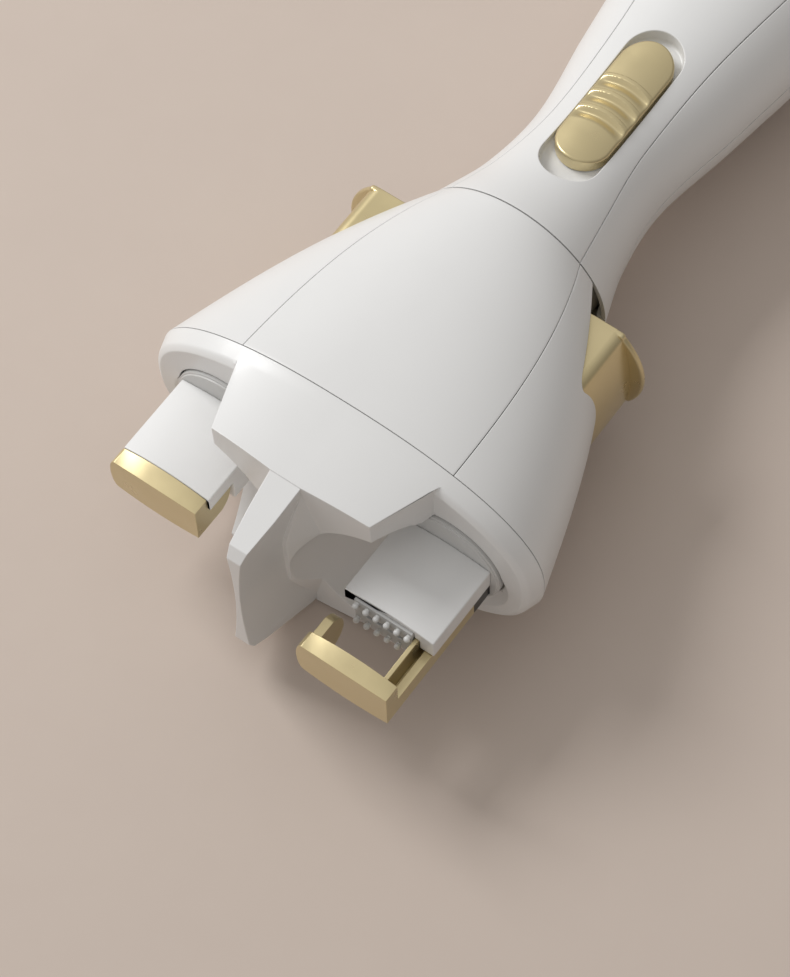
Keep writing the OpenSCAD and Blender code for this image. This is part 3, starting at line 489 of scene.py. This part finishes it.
def lever_flat(grow):
    """The lever's outline across its travel, grown by a gap: flat front, bowed outer side"""
    bow = LEVER_BOW + grow
    middle = LEVER_X - LEVER_BOW
    low, high = -LEVER_BACK - grow, LEVER_FRONT + grow
    crease_z = LEVER_FRONT - CREASE_R
    crease_x = middle + math.sqrt((LEVER_BOW - CREASE_R) ** 2 - (crease_z - LEVER_BOW_Z) ** 2)
    start = math.asin((crease_z - LEVER_BOW_Z) / (LEVER_BOW - CREASE_R))
    from_z = LEVER_BOW_Z + bow * math.sin(start)
    bowed = [(middle + math.sqrt(bow**2 - (z - LEVER_BOW_Z) ** 2), z) for z in ends_of(low, from_z, 30)]
    r = CREASE_R + grow
    rounded = [(crease_x + r * math.cos(t), crease_z + r * math.sin(t))
               for t in ends_of(start, math.pi / 2, 10)[1:]]
    return [(LEVER_IN - LEVER_ROOT, low), *bowed, *rounded, (LEVER_IN - LEVER_ROOT, high)]


def model_head_shells():
    rows = ends_of(BAND_H + SEAM, HEAD_LEN, 72)
    panel = shell("head_panel", rows, 84, front_angle, WALL)
    smooth(panel)
    stand_for(panel, "head_front_panel")

    back = shell("head_back", rows, 200,
                 lambda y, f: back_angle(y, f, seam_angle(y) - half_gap(y)), WALL)
    low = LEVER_TOP - LEVER_LEN - LEVER_GAP
    for side in (1, -1):
        tool = prism("lever_slot", lever_flat(LEVER_GAP), low, HEAD_LEN + 1,
                     lambda a, b, h: point(side * a, h, b))
        cut(back, tool)
    smooth(back)
    stand_for(back, "head_back_shell")


model_head_shells()

# Base of the head: band, guards, keel and divider ----------------------------------------------

FLOOR_OUT = 1.3
FLOOR_TOP = 1.4
GUARD_W = 23.2
LOBE_W = 18
LOBE_LEN = 14.7
ROOT_LEN = 15.9
ROOT_W = 3.5
GUARD_RISE = 1.4
KEEL_LEN = 20.9
KEEL_W = 2.6
ROOT_DEEP = 4
FIN_LEN = 33
FIN_W = 2.2
FIN_WAIST = 0.9
FIN_FRONT = 19
FIN_BACK = 16
BOWL_R = 23.4
BOWL_DEPTH = 21
BOWL_BACK = 3
BOWL_Y = 20.5
DISC_R = 11.75
DISC_GAP = 0.35
DISC_OUT = 2.2


def skin_ring(y, sunk, seat_y, count=240):
    return [skin_point(y, 360 * i / count, sunk, seat_y) for i in range(count)]


def leaned(y, z):
    """The guard gets shorter towards its back"""
    return y + GUARD_RISE * (HEAD_FRONT - z) / (HEAD_FRONT + REST_H)


def model_guard():
    corners = [(GUARD_W, FLOOR_TOP), (GUARD_W, 0), (LOBE_W, -LOBE_LEN), (ROOT_W, -ROOT_LEN)]
    flat = corners + [(-x, y) for x, y in reversed(corners)]
    guard = prism("guard", flat, -2 * HEAD_FRONT, 2 * HEAD_FRONT,
                  lambda a, b, h: point(a, leaned(b, h), h))
    skin = hoops("guard_skin", [skin_ring(0, 0, y) for y in (-ROOT_LEN - 1, FLOOR_TOP)])
    cut(guard, skin, "INTERSECT")
    return guard


def model_keel():
    crest_z, hip_z = 8, 9
    end_lift, hip_lift = 0.3, 0.25
    hip_w = ROOT_W + 3
    root_z = outline(0)[1] - 0.9
    crest = [(KEEL_W, crest_z), (-KEEL_W, crest_z), (-KEEL_W, crest_z), (-KEEL_W, -crest_z),
             (-KEEL_W, -crest_z), (KEEL_W, -crest_z), (KEEL_W, -crest_z), (KEEL_W, crest_z)]
    rim = [(ROOT_W, root_z, end_lift), (-ROOT_W, root_z, end_lift),
           (-hip_w, hip_z, hip_lift), (-hip_w, -hip_z, hip_lift),
           (-ROOT_W, -root_z, end_lift), (ROOT_W, -root_z, end_lift),
           (hip_w, -hip_z, hip_lift), (hip_w, hip_z, hip_lift)]
    rings = [
        [point(x, leaned(-KEEL_LEN, z), z) for x, z in crest],
        [point(x, leaned(-ROOT_LEN + lift, z), z) for x, z, lift in rim],
        [point(x, leaned(-ROOT_LEN + ROOT_DEEP, z), z) for x, z, _ in rim],
    ]
    return hoops("keel", rings)


def model_divider():
    sag = FIN_W - FIN_WAIST
    hollow_h = (FIN_FRONT + FIN_BACK) / 2
    hollow_r = (hollow_h**2 + sag**2) / 2 / sag
    lean = math.atan((ROOT_W - FIN_W) / (FIN_LEN - ROOT_LEN))
    top_y = -ROOT_LEN + ROOT_DEEP
    heel_z = -REST_H + 1.6
    wide = ROOT_W + ROOT_DEEP * (ROOT_W - FIN_W) / (FIN_LEN - ROOT_LEN)
    front = outline(0)[1] - 0.2
    fin = prism("divider", [(wide, top_y), (FIN_W, -FIN_LEN), (-FIN_W, -FIN_LEN), (-wide, top_y)],
                -2 * HEAD_FRONT, 2 * HEAD_FRONT, point)
    profile = [
        (top_y, front), (-ROOT_LEN, front), (-FIN_LEN + 2.4, FIN_FRONT),
        (-FIN_LEN + 0.7, FIN_FRONT - 2.4), (-FIN_LEN, -FIN_BACK + 0.8),
        (-FIN_LEN + 1, -FIN_BACK - 0.9), (-ROOT_LEN, heel_z), (top_y, heel_z),
    ]
    cut(fin, prism("fin_profile", profile, -20, 20, lambda a, b, h: point(h, a, b)), "INTERSECT")
    for side in (1, -1):
        def place(a, b, h):
            x = hollow_r + FIN_WAIST + a * math.cos(lean) + h * math.sin(lean)
            y = -FIN_LEN - a * math.sin(lean) + h * math.cos(lean)
            return point(side * x, y, b + (FIN_FRONT - FIN_BACK) / 2)
        cut(fin, prism("hollow", circle(hollow_r, 480), -10, FIN_LEN - KEEL_LEN + 8, place))
    return fin


def bowl(side):
    bpy.ops.object.select_all(action="DESELECT")
    bpy.ops.mesh.primitive_uv_sphere_add(segments=144, ring_count=72, radius=1)
    tool = bpy.context.object
    sizes = Matrix.Diagonal((BOWL_R * MM, BOWL_R * MM, BOWL_DEPTH * MM, 1))
    tool.data.transform(Matrix.Translation(point(side * ROTOR_X, -BOWL_Y, -BOWL_BACK)) @ sizes)
    return tool


def rod(name, x, r, low, high):
    """A round bar along y at x, level with the axis"""
    return prism(name, circle(r, 128), low, high, lambda a, b, h: point(x + a, h, b))


def merge_short(piece, length, angle):
    """Joins points closer than length and dissolves edges between nearly level faces"""
    pick(piece)
    bpy.ops.object.mode_set(mode="EDIT")
    bpy.ops.mesh.select_all(action="SELECT")
    bpy.ops.mesh.remove_doubles(threshold=length * MM)
    bpy.ops.mesh.dissolve_degenerate(threshold=length * MM / 2)
    bpy.ops.mesh.dissolve_limited(angle_limit=math.radians(angle))
    bpy.ops.object.mode_set(mode="OBJECT")


def model_base():
    rings = [skin_ring(0, FLOOR_OUT, -FLOOR_OUT), skin_ring(0, FLOOR_OUT / 4, -FLOOR_OUT / 2),
             skin_ring(0, 0, 0), skin_ring(BAND_H, 0, BAND_H)]
    base = hoops("base", rings)
    cut(base, model_guard(), "UNION")
    cut(base, model_keel(), "UNION")
    cut(base, model_divider(), "UNION")
    inside = hoops("inside", [skin_ring(BAND_H, WALL + 0.9, y) for y in (FLOOR_TOP, BAND_H + 3)])
    cut(base, inside)
    for side in (1, -1):
        cut(base, bowl(side))
        cut(base, rod("disc_hole", side * ROTOR_X, DISC_R + DISC_GAP, -DISC_OUT - 2, FLOOR_TOP + 1))
    merge_short(base, 0.06, 0.5)
    round_edges(base, 0.16, angle=32, clamp=False)
    smooth(base, 30)
    stand_for(base, "head_base")


model_base()

# Shells of the grip -----------------------------------------------------------------------------

LIP_R = 0.25
TRAY_EDGE = 0.7
SCREW_X = 13
SCREW_YS = (128, 180)
SCREW_SEAT = -14
SCREW_HEAD_R = 2.1
GRIP_ROWS = ends_of(HEAD_LEN + NECK_GAP, CAP_Y - SEAM, 150)


def slot_strip(name, length, width, y, rows):
    """A strip round a slot: each row gives how far out of the slot it lies and its height"""
    around = stadium(length, width)
    count = len(around)

    def where(row, column):
        (a, b), (out_a, out_b) = around[column % count]
        out, height = rows[row]
        x = a + out_a * out
        at = y + b + out_b * out
        return point(x, at, height(x, at))
    piece = sheet(name, len(rows) - 1, count, where)
    tidy_mesh(piece, outward=False)
    return piece


def model_front_panel():
    panel = shell("grip_panel", GRIP_ROWS, 64, lambda y, f: front_angle(y, f, STEP_TURN), PANEL_T - APART)
    cut(panel, slot_tool("slot", RECESS_Y, RECESS_LEN + 2 * LIP_R, RECESS_W + 2 * LIP_R, 0, THROUGH))
    rounded = [(LIP_R * (1 - math.sin(t)), LIP_R * (1 - math.cos(t))) for t in quarter_turn(6)]
    lip_rows = [(out, lambda x, y, d=drop: skin_height(x, y) - d) for out, drop in rounded]
    lip_rows.append((0, lambda x, y: skin_height(x, y) - PANEL_T + 0.03))
    lip = slot_strip("lip", RECESS_LEN, RECESS_W, RECESS_Y, lip_rows)
    join(panel, lip)
    smooth(panel)
    stand_for(panel, "handle_front_panel")


def model_front_shell():
    side, seat = 16, 44

    def where(row, column):
        y = GRIP_ROWS[row]
        edge = seam_angle(y)
        if column <= side:
            return skin_point(y, 180 - SPLIT_TURN - (edge - SPLIT_TURN) * column / side)
        if column <= side + 1 + seat:
            start = edge + STEP_TURN
            f = (column - side - 1) / seat
            return skin_point(y, 180 - start - f * (180 - 2 * start), PANEL_T)
        return skin_point(y, edge - (edge - SPLIT_TURN) * (column - side - seat - 2) / side)
    body = sheet("grip_front", len(GRIP_ROWS) - 1, 2 * side + seat + 2, where)
    finish_with(body, "SOLIDIFY", thickness=(WALL - PANEL_T) * MM, offset=-1)
    square_ends(body, GRIP_ROWS)
    round_edges(body, FINE_EDGE)
    slot_len, slot_w = RECESS_LEN + 2 * TRAY_EDGE, RECESS_W + 2 * TRAY_EDGE
    cut(body, slot_tool("slot", RECESS_Y, slot_len, slot_w, 0, THROUGH))
    corner = 0.6
    tray_rows = [(APART, lambda x, y: skin_height(x, y) - PANEL_T)]
    for t in quarter_turn(6):
        height = RECESS_FLOOR + corner * (1 - math.sin(t))
        tray_rows.append((corner * (math.cos(t) - 1) + APART, lambda x, y, height=height: height))
    tray = slot_strip("tray", RECESS_LEN, RECESS_W, RECESS_Y, tray_rows)
    around = stadium(RECESS_LEN, RECESS_W)
    inner = stadium(STEM_LEN + BUTTON_TRAVEL + 1.2, STEM_W + 0.6)
    count = len(around)
    inset = corner - APART

    def floor_place(row, column):
        (a, b), (out_a, out_b) = around[column % count]
        (c, d), _ = inner[column % count]
        if row == 2:
            return point(c, STEM_Y + d, RECESS_FLOOR - 1.4)
        if row == 1:
            return point(c, STEM_Y + d, RECESS_FLOOR)
        return point(a - out_a * inset, RECESS_Y + b - out_b * inset, RECESS_FLOOR)
    bottom = sheet("tray_floor", 2, count, floor_place)
    tidy_mesh(bottom, outward=False)
    join(tray, bottom)
    tidy_mesh(tray, outward=False)
    finish_with(tray, "SOLIDIFY", thickness=TRAY_EDGE * MM, offset=-1)
    join(body, tray)
    smooth(body)
    stand_for(body, "handle_front_shell")


def upright_rod(name, x, y, r, low, high):
    return prism(name, circle(r, 48), low, high, lambda a, b, h: point(x + a, y + b, h))


def model_back_shell():
    back = shell("grip_back", GRIP_ROWS, 150, lambda y, f: back_angle(y, f, -SPLIT_TURN), WALL)
    seats = [(side * SCREW_X, y) for side in (1, -1) for y in SCREW_YS]
    well_r = SCREW_HEAD_R + 0.3
    for x, y in seats:
        cut(back, upright_rod("screw_well", x, y, well_r, -THROUGH, SCREW_SEAT))
    walls = []
    for x, y in seats:
        wall = upright_rod("well_wall", x, y, well_r + 0.8, -THROUGH, -SPLIT_TURN)
        cut(wall, upright_rod("well", x, y, well_r, -THROUGH, SCREW_SEAT))
        inside = hoops("inside", [skin_ring(v, WALL / 2, v, 120) for v in ends_of(y - 6, y + 6, 8)])
        cut(wall, inside, "INTERSECT")
        walls.append(wall)
    join(back, *walls)
    smooth(back)
    stand_for(back, "handle_back_shell")


def slot_edge(angle, width, height):
    """Where a line from the middle at an angle meets the outline of the charging socket"""
    r, run = height / 2, (width - height) / 2
    c, s = math.cos(math.radians(angle)), math.sin(math.radians(angle))
    reach = r / max(abs(s), 1e-6)
    if abs(reach * c) > run:
        reach = run * abs(c) + math.sqrt(max(0, r**2 - (run * s) ** 2))
    return reach * c, reach * s


def model_end_cap():
    cap_in = 5.4
    socket_w, socket_h = 9.4, 3.7
    count = 192
    rings = []
    for t in quarter_turn(16):
        share = math.sin(t)
        sunk = cap_in * (1 - max(0.0, 1 - share**2.6) ** 0.6)
        rings.append(skin_ring(CAP_Y, sunk, CAP_Y + CAP_LEN * share, count))
    for grow, y in ((1.2, 0), (0.3, 0), (0.09, -0.09), (0, -0.3), (0, -2)):
        edge = [slot_edge(360 * i / count, socket_w + 2 * grow, socket_h + 2 * grow) for i in range(count)]
        rings.append([point(a, GRIP_END + y, b) for a, b in edge])
    cap = sheet("cap", len(rings) - 1, count, lambda row, column: rings[row][-column % count])
    tidy_mesh(cap, outward=False)
    finish_with(cap, "SOLIDIFY", thickness=1.2 * MM, offset=-1)
    round_edges(cap, FINE_EDGE, angle=60)
    smooth(cap)
    stand_for(cap, "end_cap")


model_front_panel()
model_front_shell()
model_back_shell()
model_end_cap()

# Slide button -----------------------------------------------------------------------------------

DOME_R = 14.5
SCOOP_PITCH = 4.35
SCOOP_BOW = 0.9
SCOOP_DEEP = 0.8
SCOOP_FALL = 2.1
SCOOP_WALL = 1.1
SCOOP_SHIFT = 0.6
RIDGE_W = 0.9
RIDGE_H = 0.14
RIDGE_RISE = 0.25
RIDGE_FALL = 0.15


def eased_step(t):
    t = clamp01(t)
    return t * t * (3 - 2 * t)


def button_height(x, y):
    """Crowned across; each of three arcs falls gently, climbs a steep wall and ends in a low ridge"""
    across = abs(2 * x / BUTTON_W)
    height = BUTTON_TOP - DOME_R + math.sqrt(DOME_R**2 - x**2) - RIDGE_H
    fade = 1 - across**5
    for k in (-1, 0, 1):
        past = y - k * SCOOP_PITCH - SCOOP_BOW * (SCOOP_SHIFT - across**2)
        if past < 0:
            fall = eased_step((past + SCOOP_WALL + SCOOP_FALL) / SCOOP_FALL)
            climb = eased_step((past + SCOOP_WALL) / SCOOP_WALL)
            height -= SCOOP_DEEP * fall * (1 - climb) * fade
        ridge = eased_step(past / RIDGE_RISE + 1) * eased_step((RIDGE_W - past) / RIDGE_FALL)
        height += RIDGE_H * ridge * fade
    return height


def model_button():
    edge_r = 0.5
    rows, columns = 420, 80
    half, run = BUTTON_W / 2, (BUTTON_LEN - BUTTON_W) / 2

    def where(row, column):
        y = BUTTON_LEN / 2 * math.sin(math.pi * (row / rows - 0.5))
        wide = half if abs(y) < run else math.sqrt(max(0, half**2 - (abs(y) - run) ** 2))
        x = wide * math.sin(math.pi * (column / columns - 0.5))
        beyond = max(0.0, abs(y) - run)
        to_edge = half - math.hypot(x, beyond)
        drop = 0.0
        if to_edge < edge_r:
            drop = edge_r - math.sqrt(max(0, edge_r**2 - (edge_r - to_edge) ** 2))
        return point(x, BUTTON_Y + y, button_height(x, y) - drop)
    top = sheet("button", rows, columns, where)
    tidy_mesh(top, outward=False)
    pick(top)
    bpy.ops.object.mode_set(mode="EDIT")
    bpy.ops.mesh.select_mode(type="EDGE")
    bpy.ops.mesh.select_all(action="DESELECT")
    bpy.ops.mesh.select_non_manifold()
    base_z = RECESS_FLOOR + BUTTON_GAP
    bpy.ops.mesh.extrude_edges_move(TRANSFORM_OT_translate={"value": (0, 0, 0)})
    bpy.ops.object.mode_set(mode="OBJECT")
    for vertex in top.data.vertices:
        if vertex.select:
            vertex.co.z = point(0, 0, base_z).z
    bpy.ops.object.mode_set(mode="EDIT")
    bpy.ops.mesh.edge_face_add()
    bpy.ops.mesh.select_all(action="SELECT")
    bpy.ops.mesh.normals_make_consistent(inside=False)
    bpy.ops.object.mode_set(mode="OBJECT")
    stem = slot_tool("stem", BUTTON_Y, STEM_LEN, STEM_W, STEM_LOW, base_z + 0.1)
    join(top, stem)
    smooth(top, 30)
    stand_for(top, "switch_button")


model_button()

# Side levers ------------------------------------------------------------------------------------

LEVER_SKIN = 1.6
FLANGE_T = 1.3
FLANGE_OUT = 2.8
FLANGE_R = 17
FLANGE_Z = -1.8
FLANGE_EDGE = 0.5
FLANGE_CORNER = 0.8
FLANGE_LOW = -11.2
FLANGE_ROOT = 5
HOLLOW_IN = 7


def model_flange(side):
    """A thin lip whose outer edge is rounded above and below"""
    middle = LEVER_X + FLANGE_OUT - FLANGE_R
    low, high = (math.asin((z - FLANGE_Z) / FLANGE_R) for z in (FLANGE_LOW, LEVER_FRONT - FLANGE_CORNER))
    rings = []
    for share in ends_of(-1, 1, 12):
        beyond = max(0.0, abs(share) * FLANGE_T / 2 - (FLANGE_T / 2 - FLANGE_EDGE))
        r = FLANGE_R - FLANGE_EDGE + math.sqrt(FLANGE_EDGE**2 - beyond**2)
        arc = [(middle + r * math.cos(t), FLANGE_Z + r * math.sin(t)) for t in ends_of(low, high, 90)]
        a, b = arc[-1]
        corner = [(a - FLANGE_CORNER * (1 - math.cos(t)), b + FLANGE_CORNER * math.sin(t))
                  for t in ends_of(0, math.pi / 2, 8)[1:]]
        root = LEVER_X - FLANGE_ROOT
        flat = [(root, arc[0][1]), *arc, *corner, (root, corner[-1][1])]
        y = LEVER_TOP - FLANGE_T / 2 + share * (FLANGE_T / 2 - 0.01)
        rings.append([point(side * a, y, b) for a, b in flat])
    return hoops("flange", rings)


def model_lever(side):
    name = "lever_right" if side > 0 else "lever_left"
    low = LEVER_TOP - LEVER_LEN
    flat = [(max(a, LEVER_IN), b) for a, b in lever_flat(0)]
    lever = prism(name, flat, low, LEVER_TOP, lambda a, b, h: point(side * a, h, b))
    x0, x1 = LEVER_IN - 1, LEVER_X - HOLLOW_IN
    z0, z1 = -LEVER_BACK + LEVER_SKIN, LEVER_FRONT - LEVER_SKIN
    hollow = prism("hollow", [(x0, z0), (x1, z0), (x1, z1), (x0, z1)], low - 1, LEVER_TOP - LEVER_SKIN,
                   lambda a, b, h: point(side * a, h, b))
    cut(lever, hollow)
    round_edges(lever, 0.3, angle=50, clamp=False)
    cut(lever, model_flange(side), "UNION")
    smooth(lever, 40)
    stand_for(lever, name)


model_lever(-1)
model_lever(1)

# Clips and the other pieces with plain edges ----------------------------------------------------


def eased(node, width, clamp=True):
    """The CAD piece with its edges eased, as a moulding has them"""
    piece = bpy.data.objects.new("fine_" + node, nodes[node].data.copy())
    bpy.context.scene.collection.objects.link(piece)
    pick(piece)
    bpy.ops.mesh.customdata_custom_splitnormals_clear()
    bpy.ops.object.mode_set(mode="EDIT")
    bpy.ops.mesh.select_all(action="SELECT")
    bpy.ops.mesh.remove_doubles(threshold=0.002 * MM)
    bpy.ops.mesh.dissolve_limited(angle_limit=math.radians(0.6))
    bpy.ops.object.mode_set(mode="OBJECT")
    if width:
        round_edges(piece, width, angle=30, clamp=clamp)
    smooth(piece)
    stand_for(piece, node)


for side in ("left", "right"):
    eased("clip_body_" + side, 0.3, clamp=False)
    eased("clip_jaw_" + side, 0.15, clamp=False)
    eased("jaw_bumps_" + side, 0)
    eased("clamp_" + side, 0.1, clamp=False)
    eased("clamp_slide_" + side, FINE_EDGE)
    eased("rotor_disc_" + side, FINE_EDGE, clamp=False)
eased("neck_collar", 0)

# Studio -----------------------------------------------------------------------------------------


def world_light():
    """A room that is bright above the grip's end and dim on the side of the mouth"""
    world = bpy.data.worlds.new("studio")
    bpy.context.scene.world = world
    world.use_nodes = True
    tree = world.node_tree
    shade = tree.nodes["Background"]
    seen = tree.nodes.new("ShaderNodeTexCoord")
    toward = tree.nodes.new("ShaderNodeVectorMath")
    toward.operation = "DOT_PRODUCT"
    toward.inputs[1].default_value = (-0.6, -0.2, 0.77)
    tree.links.new(seen.outputs["Generated"], toward.inputs[0])
    share = tree.nodes.new("ShaderNodeMapRange")
    share.inputs["From Min"].default_value = -0.4
    share.inputs["From Max"].default_value = 1
    tree.links.new(toward.outputs["Value"], share.inputs["Value"])
    tone = tree.nodes.new("ShaderNodeMix")
    tone.data_type = "RGBA"
    tone.inputs["A"].default_value = (0.33, 0.315, 0.30, 1)
    tone.inputs["B"].default_value = (1, 0.985, 0.965, 1)
    tree.links.new(share.outputs["Result"], tone.inputs["Factor"])
    tree.links.new(tone.outputs["Result"], shade.inputs["Color"])
    shade.inputs["Strength"].default_value = 0.68


def softbox(name, seat, aim, size, power):
    bpy.ops.object.light_add(type="AREA", location=seat)
    lamp = bpy.context.object
    lamp.name = name
    lamp.data.shape = "SQUARE"
    lamp.data.size = size
    lamp.data.energy = power
    lamp.rotation_euler = (Vector(aim) - Vector(seat)).to_track_quat("-Z", "Y").to_euler()


def model_floor():
    bpy.ops.object.select_all(action="DESELECT")
    bpy.ops.mesh.primitive_plane_add(size=8)
    floor = bpy.context.object
    floor.name = "floor"
    card = grainy("floor_card", (0.61, 0.52, 0.455), (0.59, 0.50, 0.44), 0.85, grain=2)
    floor.data.materials.append(card)


world_light()
softbox("key_light", (-0.85, -0.02, 0.8), (0, 0, 0.02), 0.45, 7.6)
model_floor()

bpy.context.scene.view_settings.view_transform = "Standard"
